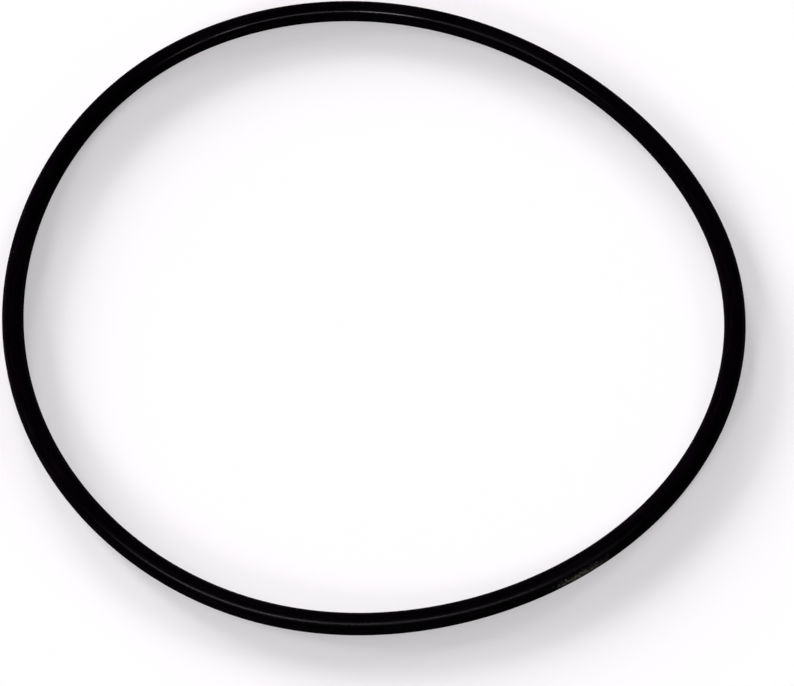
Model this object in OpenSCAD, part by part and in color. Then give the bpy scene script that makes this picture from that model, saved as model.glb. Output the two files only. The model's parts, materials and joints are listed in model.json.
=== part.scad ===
// Rubber sealing ring with a round cord, lying slack on a flat surface.
// All sizes are in millimetres. The ring rests on Z = 0, with the axis it was moulded
// around pointing up, and the origin is under the middle of its outline.
//
// A ring this thin doesn't stay a true circle when nothing holds it: the cord keeps its
// length and only bends. The outline is given by its reach, which is how far the middle
// line of the cord goes out in each direction, seen from the middle of the ring. An oval
// adds two gentle corners to the reach of a circle, and the other parts of the slack shape
// add three, four and six. None of them makes the cord any longer.

/* [Seal size] */
// Inside diameter of the ring as moulded, when it is a true circle
inner_d = 117.07; // [80:0.01:400]
// Thickness of the round cord
cord_d = 3.53; // [1.5:0.01:8]

/* [Parting line] */
// How far the trimmed edge along the mould's parting line stands out of the cord
flash_h = 0.05; // [0.02:0.01:0.3]
// Thickness of that trimmed edge, measured along the ring's axis
flash_t = 0.16; // [0.05:0.01:0.3]

/* [Slack shape] */
// How far the two corners of the oval part reach out
oval = 0.85; // [0:0.01:1.5]
// Direction of one of those two corners, in degrees
oval_at = 138; // [0:1:180]
// How far the three corners of the three-cornered part reach out
triangle = 0.88; // [0:0.01:1.5]
// Direction of one of those three corners, in degrees
triangle_at = 114.5; // [0:0.5:120]
// How far the four corners of the four-cornered part reach out
square_part = 0.14; // [0:0.005:0.3]
// Direction of one of those four corners, in degrees
square_at = 0; // [0:1:90]
// How far the six corners of the six-cornered part reach out
hexagon = 0.075; // [0:0.001:0.2]
// Direction of one of those six corners, in degrees
hexagon_at = 14; // [0:1:60]

/* [Smoothness] */
// Number of rings of points around the outline
steps = 120; // [48:12:144]

/* [Hidden] */

// Radius of the middle line of the cord when the ring is a true circle
mean_r = (inner_d + cord_d) / 2;
// Radius of the cord
cord_r = cord_d / 2;
// Angle between two neighbouring points on the round of the cord
facet = 15;

// Each part of the slack shape: number of corners, how far they reach, direction of one
parts = [
    [2, oval, oval_at],
    [3, triangle, triangle_at],
    [4, square_part, square_at],
    [6, hexagon, hexagon_at],
];

// Sum of the numbers in a list
function sum(list, i = 0) = i == len(list) ? 0 : list[i] + sum(list, i + 1);

// Reach of the middle line in direction a
function reach(a) = mean_r + sum([for (p = parts) p[1] * cos(p[0] * (a - p[2]))]);

// How fast the reach grows as the direction turns, per radian
function reach_growth(a) = sum([for (p = parts) -p[0] * p[1] * sin(p[0] * (a - p[2]))]);

// Middle of the outline, half way between its outermost points
middle = [(reach(0) - reach(180)) / 2, (reach(90) - reach(270)) / 2];

// Outward direction, and place of the middle line where the cord faces that way
function outward(a) = [cos(a), sin(a)];
function middle_line(a) = reach(a) * outward(a) + reach_growth(a) * outward(a + 90) - middle;

// Height and width at which the trimmed edge leaves the round of the cord
edge_z = flash_t / 2;
edge_x = sqrt(cord_r * cord_r - edge_z * edge_z);

// Outer half of the section, from its lowest point to its highest, as [outward, up]
outer_half = concat(
    [for (a = [-90 : facet : -facet]) cord_r * outward(a)],
    [[edge_x, -edge_z], [cord_r + flash_h, -edge_z], [cord_r + flash_h, edge_z], [edge_x, edge_z]],
    [for (a = [facet : facet : 90]) cord_r * outward(a)]
);
// Inner half, from below the highest point down to above the lowest
inner_half = [for (i = [len(outer_half) - 2 : -1 : 1]) [-outer_half[i][0], outer_half[i][1]]];
// The whole section of the cord: round rubber with a trimmed edge inside and outside
section = concat(outer_half, inner_half);

// The section set up square to the middle line where the cord faces direction a
function section_at(a) = [
    for (p = section)
        let (place = middle_line(a) + p[0] * outward(a))
            [place[0], place[1], cord_r + p[1]]
];

// The whole ring: the section carried once round the middle line
module o_ring() {
    sides = len(section);
    points = [for (s = [0 : steps - 1]) each section_at(s * 360 / steps)];
    faces = [
        for (s = [0 : steps - 1], i = [0 : sides - 1])
            let (here = s * sides, there = (s + 1) % steps * sides, j = (i + 1) % sides)
                [here + i, here + j, there + j, there + i]
    ];
    color("#161616") polyhedron(points = points, faces = faces);
}

o_ring();
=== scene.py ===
# %% [markdown]
# # A black rubber sealing ring
#
# The part is one moulded ring of black nitrile rubber with a round cord. It lies slack on a
# white table, a little out of round, as a thin rubber ring does. The exact solid comes first,
# because the ring is measured from it and has to stay inside its box. Nothing here changes it.

# %% Load the solid ring
import json
import math

import bpy
import numpy as np
from mathutils import Matrix, Vector


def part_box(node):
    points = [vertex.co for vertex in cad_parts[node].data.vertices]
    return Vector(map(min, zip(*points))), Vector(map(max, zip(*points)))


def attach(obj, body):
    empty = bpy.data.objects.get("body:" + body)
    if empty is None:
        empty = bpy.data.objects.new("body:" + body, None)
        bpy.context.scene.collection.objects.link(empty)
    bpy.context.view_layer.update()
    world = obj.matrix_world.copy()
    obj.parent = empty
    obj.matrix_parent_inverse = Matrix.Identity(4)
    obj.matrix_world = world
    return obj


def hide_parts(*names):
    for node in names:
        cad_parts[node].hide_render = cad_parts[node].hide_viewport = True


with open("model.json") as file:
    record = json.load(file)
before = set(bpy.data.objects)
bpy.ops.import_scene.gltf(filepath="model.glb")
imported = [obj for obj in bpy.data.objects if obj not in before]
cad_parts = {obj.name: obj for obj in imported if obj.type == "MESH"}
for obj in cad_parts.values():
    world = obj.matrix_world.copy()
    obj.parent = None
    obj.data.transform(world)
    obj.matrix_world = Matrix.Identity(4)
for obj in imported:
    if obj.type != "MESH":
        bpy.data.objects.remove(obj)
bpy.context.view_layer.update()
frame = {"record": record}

MM = 1000

# %% [markdown]
# ## The sizes that everything hangs on
#
# Two sizes describe a sealing ring: how thick its cord is and how wide it is inside. The
# cord's thickness is the height of the solid, because the ring lies flat. The inside radius
# is stated in the record, at the groove that the ring is made for.

# %% Cord and ring sizes, in metres
lowest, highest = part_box("o_ring")
CORD_R = (highest.z - lowest.z) / 2
GROOVE = frame["record"]["mounts"][0]
MEAN_R = GROOVE["dims"]["r_mm"] / MM + CORD_R
print("cord radius", round(MM * CORD_R, 4), "mm, mean radius", round(MM * MEAN_R, 3), "mm")

# %% [markdown]
# ## The slack outline
#
# Rubber bends far more easily than it stretches, so a slack ring keeps the length of its cord
# and only its bends change. A handy way to draw such a curve is by its reach: how far it goes
# out in each direction, seen from the middle. A circle has the same reach all round. Each
# part below adds a few soft corners, and none of them makes the cord longer. The solid is
# shaped by the same four parts. From the reach come the place of the cord and the radius of
# its bend, by two short formulas.

# %% The parts of the slack outline: corners, how far they reach, direction of one of them
SLACK_PARTS = [
    (2, 0.00085, math.radians(138)),
    (3, 0.00088, math.radians(114.5)),
    (4, 0.00014, 0.0),
    (6, 0.000075, math.radians(14)),
]


def reach(angle):
    return MEAN_R + sum(far * np.cos(n * (angle - at)) for n, far, at in SLACK_PARTS)


def reach_growth(angle):
    return sum(-n * far * np.sin(n * (angle - at)) for n, far, at in SLACK_PARTS)


def bend_radius(angle):
    bends = ((1 - n * n) * far * np.cos(n * (angle - at)) for n, far, at in SLACK_PARTS)
    return MEAN_R + sum(bends)


bends = [MM * float(bend_radius(math.radians(a))) for a in range(360)]
print("bend radius from", round(min(bends), 1), "to", round(max(bends), 1), "mm")

# %% Where the middle of the cord lies when the cord faces a direction, or many directions
OUTLINE_MIDDLE = np.array([
    (reach(0) - reach(math.pi)) / 2,
    (reach(math.pi / 2) - reach(3 * math.pi / 2)) / 2,
])


def facing(angle):
    return np.stack([np.cos(angle), np.sin(angle)], axis=-1)


def middle_line(angle):
    out = reach(angle)[..., None] * facing(angle)
    along = reach_growth(angle)[..., None] * facing(angle + math.pi / 2)
    return out + along - OUTLINE_MIDDLE


print("the cord is drawn from", [round(MM * float(v), 2) for v in middle_line(0.0)], "mm on")

# %% [markdown]
# ## The section of the cord
#
# A sealing ring is moulded between two half moulds, which meet at its widest and narrowest
# circle. A thin film of rubber creeps in between them, and after trimming it leaves a small
# edge on the inside and on the outside. So the section is a circle with two tiny points. It
# is drawn once, as a ring of vertices standing upright at the right end of the outline.

# %% Draw the section and pull out its two trimmed points
SECTION_POINTS = 96
TRIM_HEIGHT = 0.000045
LEVEL_WITHIN = CORD_R / 1000
first_place = Vector((*middle_line(0.0), CORD_R))


def on_parting_line(vertex):
    return abs(vertex.co.z - CORD_R) < LEVEL_WITHIN


bpy.ops.object.select_all(action="DESELECT")
bpy.ops.mesh.primitive_circle_add(
    vertices=SECTION_POINTS,
    radius=CORD_R,
    fill_type="NOTHING",
    location=first_place,
    rotation=(math.pi / 2, 0, 0),
)
rubber_ring = bpy.context.active_object
rubber_ring.name = "rubber_ring"
rubber_ring.data.name = "rubber_ring"
bpy.ops.object.transform_apply(location=True, rotation=True, scale=True)

for vertex in rubber_ring.data.vertices:
    vertex.select = on_parting_line(vertex)
print("trimmed points in the section:", sum(v.select for v in rubber_ring.data.vertices))
bpy.ops.object.mode_set(mode="EDIT")
bpy.ops.mesh.select_mode(type="VERT")
bpy.ops.transform.resize(
    value=(1 + TRIM_HEIGHT / CORD_R, 1, 1),
    center_override=first_place,
)

# %% [markdown]
# ## Carrying the section round
#
# The spin tool turns a profile round a centre, as a lathe does, so one spin makes a perfect
# ring. The slack ring bends a little more here and a little less there, so it is spun in many
# short turns. Each turn has its own centre, which is always straight inward from where the
# cord is. That keeps the cord smooth, because every turn leaves in the direction in which the
# next one starts. The last turn arrives back at the first section, and the two are merged.
# Spin turns clockwise about an axis that points up, so the axis is given pointing down.

# %% Spin the section round the outline, one short bend after another
BENDS = 120
STEPS_IN_A_BEND = 4
turn = 2 * math.pi / BENDS

bpy.ops.mesh.select_all(action="SELECT")
place = middle_line(0.0)
for number in range(BENDS):
    start = number * turn
    radius = bend_radius(start + turn / 2)
    centre = place - radius * facing(start)
    bpy.ops.mesh.spin(
        steps=STEPS_IN_A_BEND,
        angle=turn,
        center=(*centre, CORD_R),
        axis=(0, 0, -1),
    )
    place = centre + radius * facing(start + turn)
print("gap left at the end, in mm:", MM * float(np.linalg.norm(place - middle_line(0.0))))

# %% Close the ring and turn its faces outward
MERGE_WITHIN = 0.00001
bpy.ops.mesh.select_all(action="SELECT")
bpy.ops.mesh.remove_doubles(threshold=MERGE_WITHIN)
bpy.ops.mesh.normals_make_consistent(inside=False)
bpy.ops.object.mode_set(mode="OBJECT")
print("vertices", len(rubber_ring.data.vertices), "faces", len(rubber_ring.data.polygons))

# %% [markdown]
# ## The ragged trim
#
# Trimming never leaves a perfectly even edge. The points of the two trimmed edges are put in
# a vertex group, and a Displace modifier moves only them. The texture that drives it is a
# computed cloud pattern. With its middle level at 1, the brightest value of the texture, the
# modifier only pulls points back towards the cord, here by up to two hundredths of a
# millimetre. So the edge never grows past the solid's.

# %% Pull the trimmed edges back unevenly
TRIM_RAGGED = 0.00002
TRIM_WAVE = 0.0016
ONLY_PULL_BACK = 1.0

trim_group = rubber_ring.vertex_groups.new(name="trimmed_edge")
on_trim = [v.index for v in rubber_ring.data.vertices if on_parting_line(v)]
trim_group.add(on_trim, 1.0, "REPLACE")

clouds = bpy.data.textures.new("ragged_trim", type="CLOUDS")
clouds.noise_scale = TRIM_WAVE
ragged = rubber_ring.modifiers.new("ragged_trim", "DISPLACE")
ragged.texture = clouds
ragged.texture_coords = "LOCAL"
ragged.vertex_group = trim_group.name
ragged.strength = TRIM_RAGGED
ragged.mid_level = ONLY_PULL_BACK
bpy.ops.object.modifier_apply(modifier=ragged.name)
print("points on the two trimmed edges:", len(on_trim))

# %% [markdown]
# ## Coordinates that follow the cord
#
# Some marks run along the cord, so their pattern has to know where along and where round the
# cord a point is. A plain pair of numbers would jump where the ring closes. Directions don't
# jump, so two of them are stored on every vertex: the way the cord faces there, and the way
# the point itself faces within the section. The first is found by stepping round until the
# section goes through the point. A few rounds of that are enough.

# %% Store the two directions on the ring
ROUNDS = 8


def cord_directions(points):
    angle = np.arctan2(points[:, 1], points[:, 0])
    for _ in range(ROUNDS):
        offset = points[:, :2] - middle_line(angle)
        along = (offset * facing(angle + math.pi / 2)).sum(-1)
        outward = (offset * facing(angle)).sum(-1)
        angle = angle + along / (bend_radius(angle) + outward)
    offset = points[:, :2] - middle_line(angle)
    outward = (offset * facing(angle)).sum(-1)
    upward = points[:, 2] - CORD_R
    size = np.hypot(outward, upward)
    flat = np.zeros(len(points))
    return (
        np.stack([np.cos(angle), np.sin(angle), flat], 1),
        np.stack([outward / size, upward / size, flat], 1),
    )


points = np.empty(3 * len(rubber_ring.data.vertices))
rubber_ring.data.vertices.foreach_get("co", points)
ring_facing, section_facing = cord_directions(points.reshape(-1, 3))
for name, values in (("ring_facing", ring_facing), ("section_facing", section_facing)):
    attribute = rubber_ring.data.attributes.new(name, "FLOAT_VECTOR", "POINT")
    attribute.data.foreach_set("vector", values.ravel())
print("directions stored on", len(ring_facing), "vertices")

# %% [markdown]
# ## Building materials from small groups
#
# The moulded rubber and the trimmed edge are the same rubber with two finishes, so they share
# their effects. Each effect is a node group with named inputs and outputs. A few helpers keep
# the node building short to read.

# %% Helpers for nodes
def new_group(name, inputs, outputs):
    group = bpy.data.node_groups.new(name, "ShaderNodeTree")
    for label, kind, value in inputs:
        socket = group.interface.new_socket(name=label, in_out="INPUT", socket_type=kind)
        socket.default_value = value
    for label, kind in outputs:
        group.interface.new_socket(name=label, in_out="OUTPUT", socket_type=kind)
    start = group.nodes.new("NodeGroupInput")
    end = group.nodes.new("NodeGroupOutput")
    return group, start.outputs, end.inputs


def add(tree, kind, inputs=None, **settings):
    node = tree.nodes.new(kind)
    for key, value in settings.items():
        setattr(node, key, value)
    for key, value in (inputs or {}).items():
        if isinstance(value, bpy.types.NodeSocket):
            tree.links.new(value, node.inputs[key])
        else:
            node.inputs[key].default_value = value
    return node


def maths(tree, operation, *values):
    node = add(tree, "ShaderNodeMath", dict(enumerate(values)), operation=operation)
    return node.outputs[0]


def smooth_step(tree, value, start, end):
    node = add(
        tree,
        "ShaderNodeMapRange",
        {"Value": value, "From Min": start, "From Max": end},
        interpolation_type="SMOOTHSTEP",
    )
    return node.outputs["Result"]


# %% [markdown]
# ## Moulded grain
#
# A steel mould is polished but never perfect, and the rubber copies it. Up close the surface
# has a fine grain of about a tenth of a millimetre, and slow swells a few millimetres long
# that make a highlight wander and break up. Together they are the height for a Bump node. The
# swells are also handed out alone, as patchiness, because a mould wears in patches too.

# %% The moulded grain group
def moulded_grain():
    group, given, result = new_group(
        "moulded_grain",
        [
            ("Grain Size", "NodeSocketFloat", 0.00012),
            ("Swell Size", "NodeSocketFloat", 0.004),
            ("Swell Amount", "NodeSocketFloat", 0.6),
        ],
        [("Height", "NodeSocketFloat"), ("Patchiness", "NodeSocketFloat")],
    )
    place = add(group, "ShaderNodeTexCoord").outputs["Object"]
    grain_scale = maths(group, "DIVIDE", 1.0, given["Grain Size"])
    swell_scale = maths(group, "DIVIDE", 1.0, given["Swell Size"])
    grain = add(
        group,
        "ShaderNodeTexNoise",
        {"Vector": place, "Scale": grain_scale, "Detail": 3.0, "Roughness": 0.6},
    ).outputs["Fac"]
    swell = add(
        group,
        "ShaderNodeTexNoise",
        {"Vector": place, "Scale": swell_scale, "Detail": 2.0, "Roughness": 0.5},
    ).outputs["Fac"]
    weighted = maths(group, "MULTIPLY", swell, given["Swell Amount"])
    group.links.new(maths(group, "ADD", grain, weighted), result["Height"])
    group.links.new(swell, result["Patchiness"])
    return group


# %% [markdown]
# ## Streaks along the cord
#
# Wiping and rolling leaves faint streaks that run along the cord. The pattern is read in four
# numbers, two for the way the ring faces and two for the way the point faces in its section.
# A millimetre along the cord hardly changes the first two, but a millimetre round it changes
# the last two a lot. That draws the pattern out into streaks, and it has no seam, because
# both are directions.

# %% The streak group
def cord_streaks():
    group, given, result = new_group(
        "cord_streaks",
        [
            ("Streaks Along", "NodeSocketFloat", 9.0),
            ("Streaks Around", "NodeSocketFloat", 7.0),
        ],
        [("Streaks", "NodeSocketFloat")],
    )
    ring_way = add(group, "ShaderNodeAttribute", attribute_name="ring_facing")
    section_way = add(group, "ShaderNodeAttribute", attribute_name="section_facing")
    ring_parts = add(group, "ShaderNodeSeparateXYZ", {0: ring_way.outputs["Vector"]}).outputs
    section_parts = add(
        group, "ShaderNodeSeparateXYZ", {0: section_way.outputs["Vector"]}
    ).outputs
    mixed = add(
        group,
        "ShaderNodeCombineXYZ",
        {
            0: maths(group, "MULTIPLY", ring_parts[0], given["Streaks Along"]),
            1: maths(group, "MULTIPLY", ring_parts[1], given["Streaks Along"]),
            2: maths(group, "MULTIPLY", section_parts[0], given["Streaks Around"]),
        },
    ).outputs[0]
    streaks = add(
        group,
        "ShaderNodeTexNoise",
        {
            "Vector": mixed,
            "W": maths(group, "MULTIPLY", section_parts[1], given["Streaks Around"]),
            "Scale": 1.0,
            "Detail": 4.0,
            "Roughness": 0.65,
        },
        noise_dimensions="4D",
    ).outputs["Fac"]
    group.links.new(streaks, result["Streaks"])
    return group


# %% [markdown]
# ## Dust
#
# Black rubber shows every speck. Dust lies as separate grains, thicker in some places than in
# others. A cell pattern gives one grain in each cell, and a slow cloud pattern decides where
# the grains are allowed.

# %% The dust group
DRIFTS_PER_METRE = 140.0
DRIFT_BEGINS, DRIFT_FULL = 0.5, 0.75


def settled_dust():
    group, given, result = new_group(
        "settled_dust",
        [
            ("Spacing", "NodeSocketFloat", 0.0007),
            ("Speck Size", "NodeSocketFloat", 0.13),
            ("Amount", "NodeSocketFloat", 0.5),
        ],
        [("Mask", "NodeSocketFloat")],
    )
    place = add(group, "ShaderNodeTexCoord").outputs["Object"]
    cells = add(
        group,
        "ShaderNodeTexVoronoi",
        {"Vector": place, "Scale": maths(group, "DIVIDE", 1.0, given["Spacing"])},
    ).outputs["Distance"]
    speck = smooth_step(group, cells, given["Speck Size"], 0.0)
    drifts = add(
        group,
        "ShaderNodeTexNoise",
        {"Vector": place, "Scale": DRIFTS_PER_METRE, "Detail": 3.0, "Roughness": 0.6},
    ).outputs["Fac"]
    allowed = smooth_step(group, drifts, DRIFT_BEGINS, DRIFT_FULL)
    mask = maths(group, "MULTIPLY", maths(group, "MULTIPLY", speck, allowed), given["Amount"])
    group.links.new(mask, result["Mask"])
    return group


# %% [markdown]
# ## A patch on the cord
#
# Some marks sit at known places: a dusty rub near the front, a few polished spots, a few
# scuffs, and a front that is a little duller than the back. All are found in the same way.
# The mask is full at one direction of the ring and one direction of the section, and fades
# with the angle from each. Each edge is given as the cosine of the angle where the mask ends.

# %% The patch group
def cord_patch():
    group, given, result = new_group(
        "cord_patch",
        [
            ("Ring Direction", "NodeSocketVector", (1.0, 0.0, 0.0)),
            ("Ring Edge", "NodeSocketFloat", 0.99),
            ("Section Direction", "NodeSocketVector", (0.0, 1.0, 0.0)),
            ("Section Edge", "NodeSocketFloat", 0.7),
        ],
        [("Mask", "NodeSocketFloat")],
    )
    masks = []
    for what in ("Ring", "Section"):
        way = add(group, "ShaderNodeAttribute", attribute_name=what.lower() + "_facing")
        closeness = add(
            group,
            "ShaderNodeVectorMath",
            {0: way.outputs["Vector"], 1: given[what + " Direction"]},
            operation="DOT_PRODUCT",
        ).outputs["Value"]
        masks.append(smooth_step(group, closeness, given[what + " Edge"], 1.0))
    group.links.new(maths(group, "MULTIPLY", *masks), result["Mask"])
    return group


# %% [markdown]
# ## The dusty rub
#
# Near the front, a little right of the middle, the outer side of the cord has a dull olive-grey
# rub about 14 mm long. It is broken up by the streaks and by fine noise, so it looks speckled.
# Speckle and streaks are added up, and the rub shows where the sum is above a limit. The limit
# is lower in the middle of the patch, so the speckle is denser there. The scuffs are broken up
# by the same group.

# %% The rub group
STREAKS_IN_SPECKLE = 0.5
LIMIT_AT_EDGE = 1.04
LIMIT_DROPS_BY = 0.3
SPECKLE_FADE = 0.06
PATCH_FADE = 0.2


def dusty_rub():
    group, given, result = new_group(
        "dusty_rub",
        [
            ("Patch", "NodeSocketFloat", 0.0),
            ("Streaks", "NodeSocketFloat", 0.5),
            ("Speckle Size", "NodeSocketFloat", 0.00027),
        ],
        [("Mask", "NodeSocketFloat")],
    )
    place = add(group, "ShaderNodeTexCoord").outputs["Object"]
    speckle = add(
        group,
        "ShaderNodeTexNoise",
        {
            "Vector": place,
            "Scale": maths(group, "DIVIDE", 1.0, given["Speckle Size"]),
            "Detail": 2.0,
            "Roughness": 0.7,
        },
    ).outputs["Fac"]
    mixed = maths(group, "MULTIPLY_ADD", given["Streaks"], STREAKS_IN_SPECKLE, speckle)
    limit = maths(group, "MULTIPLY_ADD", given["Patch"], -LIMIT_DROPS_BY, LIMIT_AT_EDGE)
    above_limit = maths(group, "SUBTRACT", mixed, limit)
    dusted = smooth_step(group, above_limit, 0.0, SPECKLE_FADE)
    inside = smooth_step(group, given["Patch"], 0.0, PATCH_FADE)
    group.links.new(maths(group, "MULTIPLY", dusted, inside), result["Mask"])
    return group


# %% Make the five groups once
GRAIN_GROUP = moulded_grain()
STREAK_GROUP = cord_streaks()
DUST_GROUP = settled_dust()
PATCH_GROUP = cord_patch()
RUB_GROUP = dusty_rub()
print("effects:", [g.name for g in bpy.data.node_groups])

# %% [markdown]
# ## Where the marks are
#
# A direction on the ring is in degrees, from the right end, anticlockwise seen from above. So
# 90 is the back and 270 the front. A direction in the section is outward, then up. A polished
# spot draws the highlight bright and thin, a scuff breaks it up, and along the handled front
# it is a little wider and softer.

# %% The places of the marks: direction, half angle, and what else each kind needs
TOP_OF_CORD = (0.0, 1.0, 0.0)
OUTER_TOP = (0.5, 0.87, 0.0)
OUTER_SIDE = (1.0, 0.05, 0.0)
POLISH_SECTION_EDGE = 0.5
SCUFF_SECTION_EDGE = 0.3
WHOLE_SECTION = -1.0
DUSTY_RUB = (302, 7, OUTER_SIDE, 0.6)
HANDLED_FRONT = (268, 80, TOP_OF_CORD, WHOLE_SECTION)
POLISHED_SPOTS = [(83, 7, 1.0), (112.5, 4.5, 0.6), (122.5, 4.5, 0.35), (249, 18, 0.21)]
SCUFFED_SPOTS = [(300, 9.5, OUTER_TOP), (64, 13, TOP_OF_CORD), (117.5, 3, TOP_OF_CORD)]
print("polished spots:", len(POLISHED_SPOTS), "scuffed spots:", len(SCUFFED_SPOTS))


# %% Helpers that place a group, a patch and the strongest of several
def use_group(tree, group, inputs=None):
    return add(tree, "ShaderNodeGroup", inputs, node_tree=group).outputs


def patch_mask(tree, direction, half_angle, section_direction, section_edge):
    return use_group(tree, PATCH_GROUP, {
        "Ring Direction": (*facing(math.radians(direction)), 0.0),
        "Ring Edge": math.cos(math.radians(half_angle)),
        "Section Direction": section_direction,
        "Section Edge": section_edge,
    })["Mask"]


def strongest(tree, masks):
    together = masks[0]
    for mask in masks[1:]:
        together = maths(tree, "MAXIMUM", together, mask)
    return together


# %% The polish, the scuffs and the handled front
SCUFF_SPECKLED = 0.45
SCUFF_EVEN = 0.2
HANDLED_SOFTER = 0.07


def polish_mask(tree):
    return strongest(tree, [
        maths(
            tree, "MULTIPLY",
            patch_mask(tree, direction, half_angle, TOP_OF_CORD, POLISH_SECTION_EDGE), amount,
        )
        for direction, half_angle, amount in POLISHED_SPOTS
    ])


def scuff_mask(tree, streaks):
    scuffs = strongest(tree, [
        patch_mask(tree, direction, half_angle, section_direction, SCUFF_SECTION_EDGE)
        for direction, half_angle, section_direction in SCUFFED_SPOTS
    ])
    broken_up = use_group(tree, RUB_GROUP, {"Patch": scuffs, "Streaks": streaks})["Mask"]
    even = maths(tree, "MULTIPLY", scuffs, SCUFF_EVEN)
    return maths(tree, "MULTIPLY_ADD", broken_up, SCUFF_SPECKLED, even)


def handled_mask(tree):
    return maths(tree, "MULTIPLY", patch_mask(tree, *HANDLED_FRONT), HANDLED_SOFTER)


# %% [markdown]
# ## Black rubber
#
# Nitrile rubber is filled with carbon black and takes almost all light that falls on it. What
# is seen of its shape is gloss: a satin surface that draws a lamp out into a thin soft line.
# The black has a trace of magenta, and is a little paler in the worn streaks. Dust and the
# dusty rub are paler and matt, so they raise the colour and the roughness together. A scuff
# only raises the roughness. Polish is a clear coat over the rubber, as smooth as the rubber's
# glossiest places.

# %% The colours of the rubber, and how strong each finish is
RUBBER_BLACK = (0.0007, 0.0001, 0.0008, 1.0)
RUBBER_WORN = (0.0038, 0.002, 0.0039, 1.0)
DUST_COLOUR = (0.064, 0.066, 0.058, 1.0)
RUB_COLOUR = (0.086, 0.082, 0.063, 1.0)
WEAR_BEGINS, WEAR_FULL = 0.46, 0.76
PATCHINESS_LOW, PATCHINESS_HIGH = 0.3, 0.7
MATT_ADDS = 0.5
BUMP_STRENGTH = 0.6
RUBBER_IOR = 1.5
RUBBER_SPECULAR = 0.2
POLISH_IOR = 1.7


def mix_colour(tree, amount, below, above):
    # A Mix node has sockets for every kind of value. Those for colours are 6, 7 and output 2.
    inputs = {"Factor": amount, 6: below, 7: above}
    return add(tree, "ShaderNodeMix", inputs, data_type="RGBA").outputs[2]


# %% The rubber material, used for both finishes
def rubber_material(name, smooth, dull, grain_size, bump_depth, dust):
    material = bpy.data.materials.new(name)
    material.use_nodes = True
    tree = material.node_tree
    shader = tree.nodes["Principled BSDF"]

    grain = use_group(tree, GRAIN_GROUP, {"Grain Size": grain_size})
    streaks = use_group(tree, STREAK_GROUP)["Streaks"]
    specks = use_group(tree, DUST_GROUP, {"Amount": dust})["Mask"]
    rub_patch = patch_mask(tree, *DUSTY_RUB)
    rub = use_group(tree, RUB_GROUP, {"Patch": rub_patch, "Streaks": streaks})["Mask"]

    worn = smooth_step(tree, streaks, WEAR_BEGINS, WEAR_FULL)
    colour = mix_colour(tree, worn, RUBBER_BLACK, RUBBER_WORN)
    colour = mix_colour(tree, specks, colour, DUST_COLOUR)
    colour = mix_colour(tree, rub, colour, RUB_COLOUR)
    tree.links.new(colour, shader.inputs["Base Color"])

    roughness = add(
        tree,
        "ShaderNodeMapRange",
        {
            "Value": grain["Patchiness"],
            "From Min": PATCHINESS_LOW,
            "From Max": PATCHINESS_HIGH,
            "To Min": smooth,
            "To Max": dull,
        },
    ).outputs["Result"]
    roughness = maths(tree, "ADD", roughness, handled_mask(tree))
    matt = strongest(tree, [rub, scuff_mask(tree, streaks), specks])
    matt = maths(tree, "MULTIPLY", matt, MATT_ADDS)
    tree.links.new(maths(tree, "ADD", roughness, matt), shader.inputs["Roughness"])
    tree.links.new(polish_mask(tree), shader.inputs["Coat Weight"])
    shader.inputs["Coat Roughness"].default_value = smooth
    shader.inputs["Coat IOR"].default_value = POLISH_IOR
    shader.inputs["IOR"].default_value = RUBBER_IOR
    shader.inputs["Specular IOR Level"].default_value = RUBBER_SPECULAR

    bump = add(
        tree,
        "ShaderNodeBump",
        {"Height": grain["Height"], "Distance": bump_depth, "Strength": BUMP_STRENGTH},
    )
    tree.links.new(bump.outputs["Normal"], shader.inputs["Normal"])
    return material


# %% Give the cord its moulded finish and the trimmed edges a duller one
moulded = rubber_material(
    "moulded_black_rubber", smooth=0.16, dull=0.24,
    grain_size=0.00012, bump_depth=0.000004, dust=0.5,
)
trimmed = rubber_material(
    "trimmed_black_rubber", smooth=0.55, dull=0.7,
    grain_size=0.00008, bump_depth=0.00001, dust=0.8,
)
rubber_ring.data.materials.append(moulded)
rubber_ring.data.materials.append(trimmed)

# The middle of a face that meets the parting line is half of this height above or below it,
# and the middle of the next face is one and a half times this height away.
TRIM_FACE_HEIGHT = CORD_R * math.sin(2 * math.pi / SECTION_POINTS)
TRIM_SHARE = 0.75
for face in rubber_ring.data.polygons:
    near_parting_line = abs(face.center.z - CORD_R) < TRIM_FACE_HEIGHT * TRIM_SHARE
    face.material_index = 1 if near_parting_line else 0
print("faces of trimmed rubber:", sum(p.material_index for p in rubber_ring.data.polygons))

SHARP_ABOVE = math.radians(25)
bpy.ops.object.shade_smooth_by_angle(angle=SHARP_ABOVE)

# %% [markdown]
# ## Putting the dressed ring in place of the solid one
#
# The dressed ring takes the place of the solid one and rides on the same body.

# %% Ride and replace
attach(rubber_ring, "root")
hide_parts("o_ring")
print("dressed ring:", rubber_ring.name, "with", len(rubber_ring.data.materials), "finishes")

# %% [markdown]
# ## Floor and surroundings
#
# The table is plain white and matt. Low lamps give it nearly four fifths of its light, and the
# even light of the room gives the rest. Where the ring stands in a lamp's way, the floor keeps
# a soft grey shadow. As the camera sees it, the table has a darker colour and glows a little,
# which comes out white and keeps the shadow pale without more light on the ring. What a glossy
# surface sees of table and room is dark, as in a studio with dark walls, or else black rubber
# would look grey. All light has a trace of magenta, as in the picture.

# %% The table
FLOOR_SIZE = 6.0
FLOOR_WHITE = 0.9
FLOOR_IN_GLOSS = 0.05
FLOOR_SEEN = 0.66
FLOOR_GLOW = 0.367
LIGHT_COLOUR = (1.0, 0.97, 1.0)

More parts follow.
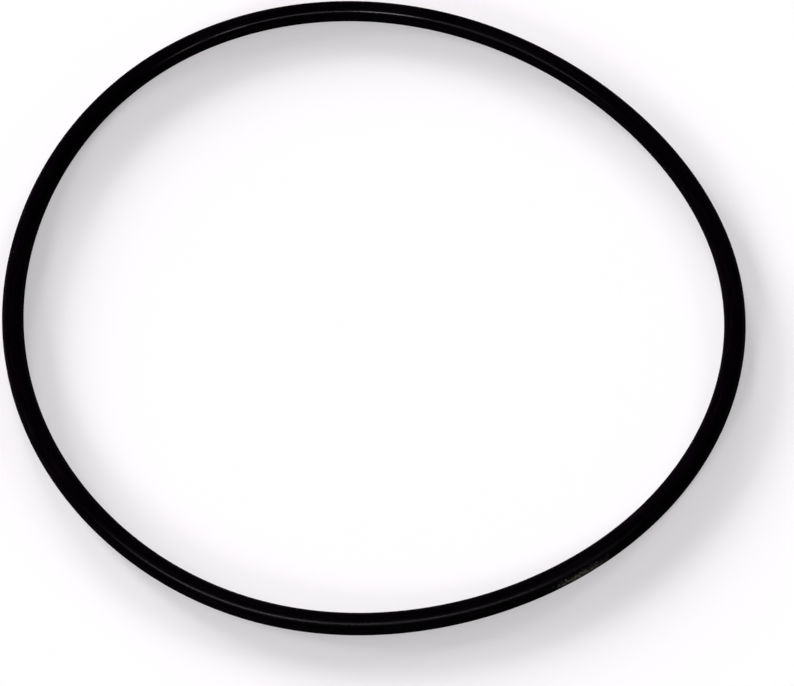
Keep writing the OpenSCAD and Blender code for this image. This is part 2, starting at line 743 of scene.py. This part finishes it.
bpy.ops.object.select_all(action="DESELECT")
bpy.ops.mesh.primitive_plane_add(size=FLOOR_SIZE, location=(0, 0, 0))
floor = bpy.context.active_object
floor.name = "table_top"
floor_material = bpy.data.materials.new("white_table")
floor_material.use_nodes = True
table = floor_material.node_tree
floor_shader = table.nodes["Principled BSDF"]
ray = add(table, "ShaderNodeLightPath").outputs
less_seen = maths(table, "MULTIPLY", ray["Is Camera Ray"], FLOOR_WHITE - FLOOR_SEEN)
less_in_gloss = maths(table, "MULTIPLY", ray["Is Glossy Ray"], FLOOR_WHITE - FLOOR_IN_GLOSS)
shade = maths(table, "SUBTRACT", FLOOR_WHITE, maths(table, "ADD", less_seen, less_in_gloss))
table.links.new(shade, floor_shader.inputs["Base Color"])
glow = maths(table, "MULTIPLY", ray["Is Camera Ray"], FLOOR_GLOW)
table.links.new(glow, floor_shader.inputs["Emission Strength"])
floor_shader.inputs["Emission Color"].default_value = (*LIGHT_COLOUR, 1.0)
floor_shader.inputs["Roughness"].default_value = 1.0
floor_shader.inputs["Specular IOR Level"].default_value = 0.0
floor.data.materials.append(floor_material)
print("open table as the camera sees it, 1 is white:", FLOOR_SEEN + FLOOR_GLOW)

# %% The room
ROOM_LIGHT = 0.212
ROOM_IN_GLOSS = 0.01

world = bpy.data.worlds.new("white_room")
bpy.context.scene.world = world
world.use_nodes = True
room = world.node_tree
background = room.nodes["Background"]
background.inputs["Color"].default_value = (*LIGHT_COLOUR, 1.0)
ray = add(room, "ShaderNodeLightPath").outputs
not_gloss = maths(room, "SUBTRACT", 1.0, ray["Is Glossy Ray"])
beyond_gloss = maths(room, "MULTIPLY", not_gloss, ROOM_LIGHT - ROOM_IN_GLOSS)
lighting = maths(room, "ADD", beyond_gloss, ROOM_IN_GLOSS)
strength = maths(room, "MAXIMUM", lighting, ray["Is Camera Ray"])
room.links.new(strength, background.inputs["Strength"])
print("share of the floor's light from the room:", ROOM_LIGHT)

# %% [markdown]
# ## Low lamps
#
# The shade on the table is soft and reaches furthest to the lower right, so most of the low
# light comes from the back and the left. Five wide sun lamps share it, and their shadows run
# into one. They aren't seen in the gloss.

# %% The low lamps that make the shadow: side and height in degrees, share of the light
LOW_WIDTH = math.radians(16)
LOW_LAMPS = {
    "back_right": (53, 22, 0.097),
    "back": (103, 16, 0.164),
    "back_left": (133, 14, 0.257),
    "left": (163, 16, 0.126),
    "front_left": (233, 22, 0.144),
}


def from_where(height, side):
    return Vector((
        math.cos(height) * math.cos(side),
        math.cos(height) * math.sin(side),
        math.sin(height),
    ))


for which, (side, height, share) in LOW_LAMPS.items():
    data = bpy.data.lights.new("low_lamp_" + which, type="SUN")
    data.angle = LOW_WIDTH
    data.energy = share * math.pi / math.sin(math.radians(height))
    data.color = LIGHT_COLOUR
    lamp = bpy.data.objects.new("low_lamp_" + which, data)
    bpy.context.scene.collection.objects.link(lamp)
    lamp.location = from_where(math.radians(height), math.radians(side))
    lamp.rotation_euler = lamp.location.to_track_quat("Z", "Y").to_euler()
    lamp.visible_glossy = False
low_share = sum(share for _, _, share in LOW_LAMPS.values())
print("low lamps:", len(LOW_LAMPS), "with a share of", round(low_share, 3), "together")

# %% [markdown]
# ## Strip lamps
#
# The thin line of light along the top of the cord comes from a long strip lamp above the ring,
# in front of its middle. A lamp that is bent like the ring would draw it best, but lamps are
# straight, so three of them stand end to end along a bent line. They are only there for the
# gloss: the camera doesn't see them, and they light no matt surface. The trace of magenta is
# stronger in the dim highlight than on the white table, so their colour has more of it.

# %% The strip lamps that draw the highlight: left end, right end, watts
STRIP_HEIGHT = 0.446
STRIP_FORWARD = 0.274
STRIP_CURVE = 0.53
STRIP_WIDTH = 0.03
STRIP_COLOUR = (1.0, 0.88, 1.0)
STRIP_LAMPS = {
    "strip_lamp_middle": (-0.14, 0.14, 0.22),
    "strip_lamp_right": (0.14, 0.36, 0.11),
    "strip_lamp_left": (-0.42, -0.14, 0.18),
}


def strip_point(side):
    return Vector((side, STRIP_CURVE * side * side - STRIP_FORWARD, STRIP_HEIGHT))


for name, (left, right, watts) in STRIP_LAMPS.items():
    start, end = strip_point(left), strip_point(right)
    middle = (start + end) / 2
    data = bpy.data.lights.new(name, type="AREA")
    data.shape = "RECTANGLE"
    data.size = (end - start).length
    data.size_y = STRIP_WIDTH
    data.energy = watts
    data.color = STRIP_COLOUR
    lamp = bpy.data.objects.new(name, data)
    bpy.context.scene.collection.objects.link(lamp)
    shining_from = middle.normalized()
    across = shining_from.cross(end - start).normalized()
    along = across.cross(shining_from)
    turned = Matrix((along, across, shining_from)).transposed().to_4x4()
    lamp.matrix_world = Matrix.Translation(middle) @ turned
    lamp.visible_camera = False
    lamp.visible_diffuse = False
    print(name, "is", round(data.size, 3), "m long")

# %% [markdown]
# ## Camera
#
# The picture is taken from close by, looking down at 59 degrees. That is why the cord looks a
# little thicker at the bottom of the picture than at the top. The ring sits slightly up and to
# the left of the middle of the frame.

# %% Place the camera
PICTURE_WIDTH = 794
FOCAL_PIXELS = 3500.0
SENSOR = 36.0
VIEW_DOWN = math.radians(59)
AIM = Vector((0.00393, -0.00815, CORD_R))
CAMERA_DISTANCE = 0.58394
NEAREST_SEEN = 0.01

camera_data = bpy.data.cameras.new("camera")
camera_data.sensor_width = SENSOR
camera_data.lens = FOCAL_PIXELS * SENSOR / PICTURE_WIDTH
camera_data.clip_start = NEAREST_SEEN
camera = bpy.data.objects.new("camera", camera_data)
bpy.context.scene.collection.objects.link(camera)
back_to_camera = Vector((0.0, -math.cos(VIEW_DOWN), math.sin(VIEW_DOWN)))
camera.location = AIM + CAMERA_DISTANCE * back_to_camera
camera.rotation_euler = back_to_camera.to_track_quat("Z", "Y").to_euler()
bpy.context.scene.camera = camera
bpy.context.scene.view_settings.view_transform = "Standard"
print("lens", round(camera_data.lens, 1), "mm")
